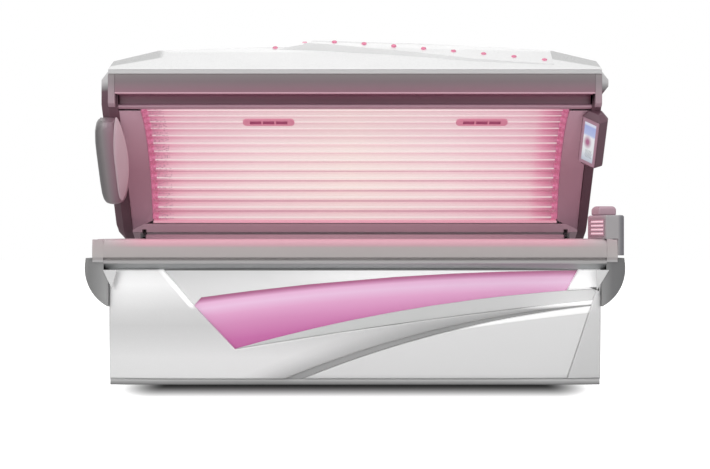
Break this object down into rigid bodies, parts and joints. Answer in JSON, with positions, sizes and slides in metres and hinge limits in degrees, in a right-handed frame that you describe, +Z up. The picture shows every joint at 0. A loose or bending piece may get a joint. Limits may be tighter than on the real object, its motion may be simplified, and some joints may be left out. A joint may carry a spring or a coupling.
{
  "type": "spa capsule",
  "caption": "Full-length spa capsule: a lamp bench on a sculpted base with a glowing window, and a lamp canopy that swings down over it on rear hinges.",
  "frame": {"origin": "On the floor under the middle of the whole object, canopy open as at rest.", "axes": "+Z up, +X along the bench towards the head unit and the control pod, +Y from the open front to the hinged rear."},
  "size_m": [2.37, 1.21, 1.5492],
  "materials": {
    "white_shell": "gloss white vacuum-formed sheet",
    "light_panel": "satin light grey sheet",
    "band_grey": "satin mid grey",
    "pink_window": "translucent pink acrylic, lit from behind",
    "satin_fascia": "satin silver-grey paint",
    "mauve_moulding": "satin silver-grey moulding under pink light",
    "dark_mauve": "satin dark grey",
    "rim_grey": "satin silver-grey",
    "dark_grey": "satin dark grey",
    "head_grey": "satin silver-grey",
    "pod_grey": "satin silver-grey",
    "pod_lens": "satin translucent lens",
    "display_glass": "lit flat display",
    "clear_acrylic": "clear acrylic sheet",
    "lamp_glass": "coated lamp glass",
    "bright_aluminium": "bright anodised sheet",
    "white_plastic": "moulded",
    "light_emitter": "lit diffuser",
    "led_pink": "clear pink lens",
    "nozzle_pink": "tinted moulding",
    "frame_steel": "powder coat",
    "sheet_panel": "powder coat",
    "zinc_sheet": "galvanised sheet",
    "pin_steel": "turned",
    "spring_black": "black paint",
    "chrome_rod": "polished",
    "black_plastic": "moulded",
    "foot_rubber": "moulded"
  },
  "bodies": {
    "base": {"base_frame": "frame_steel", "levelling_feet": "foot_rubber", "floor_tray": "zinc_sheet", "plinth": "dark_grey", "side_panels": "light_panel", "rear_panel": "sheet_panel", "ballasts": "sheet_panel", "control_box": "sheet_panel", "mains_gland": "black_plastic", "window_light_bar": "light_emitter", "front_sweep_shell": "white_shell", "front_upper_panel": "white_shell", "front_window": "pink_window", "window_band": "band_grey", "groove_trim": "band_grey", "service_panel": "light_panel", "front_corner_panel": "white_shell", "bench_front_rim": "rim_grey", "bench_rear_rim": "mauve_moulding", "bench_end_rims": "rim_grey", "end_caps": "dark_grey", "bench_end_plates": "zinc_sheet", "bench_acrylic": "clear_acrylic", "bench_reflector": "bright_aluminium", "bench_lamps": "lamp_glass", "bench_lampholders": "white_plastic", "head_unit_housing": "head_grey", "head_unit_cap": "head_grey", "head_vent_grille": "mauve_moulding", "head_vent_diffuser": "light_emitter", "hinge_brackets": "frame_steel", "pivot_pins": "pin_steel", "bench_fan_frame": "black_plastic"},
    "canopy": {"canopy_top_cover": "white_shell", "canopy_crown": "white_shell", "crown_leds": "led_pink", "canopy_fascia": "satin_fascia", "fascia_end_caps": "satin_fascia", "fascia_trim_strip": "light_panel", "grip_channel": "mauve_moulding", "canopy_inner_lip": "mauve_moulding", "canopy_end_walls": "mauve_moulding", "side_covers": "dark_mauve", "canopy_back_cover": "white_shell", "canopy_bottom_cover": "mauve_moulding", "canopy_reflector": "bright_aluminium", "canopy_lamps": "lamp_glass", "canopy_lampholders": "white_plastic", "canopy_acrylic": "clear_acrylic", "canopy_end_plates": "zinc_sheet", "air_nozzles": "nozzle_pink", "canopy_frame": "frame_steel", "left_pod_shell": "pod_grey", "left_pod_lens": "pod_lens", "control_pod_shell": "dark_mauve", "control_bezel": "satin_fascia", "control_display": "display_glass"},
    "spring_cylinders": {"gas_spring_cylinders": "spring_black"},
    "spring_rods": {"gas_spring_rods": "chrome_rod"},
    "bench_fan": {"bench_fan_rotor": "black_plastic"}
  },
  "joints": [
    {"name": "canopy_lift", "type": "hinge", "parent": "base", "child": "canopy", "pos_m": [0.02, 0.30635, 0.6], "axis": [1, 0, 0], "range_deg": [0, 38]},
    {"name": "spring_swing", "type": "hinge", "parent": "base", "child": "spring_cylinders", "pos_m": [0.02, 0.23435, 0.42], "axis": [1, 0, 0], "range_deg": [0, 2.1]},
    {"name": "spring_slide", "type": "slide", "parent": "spring_cylinders", "child": "spring_rods", "axis": [0, 0.0255, 0.9997], "range_m": [-0.0485, 0]},
    {"name": "bench_fan_spin", "type": "hinge", "parent": "base", "child": "bench_fan", "pos_m": [-0.48, 0.31, 0.275], "axis": [0, 1, 0], "continuous": true}
  ],
  "couplings": [
    {"joint": "spring_swing", "follows": "canopy_lift", "ratio": 0.054258},
    {"joint": "spring_slide", "follows": "canopy_lift", "m_per_rad": -0.072916}
  ]
}
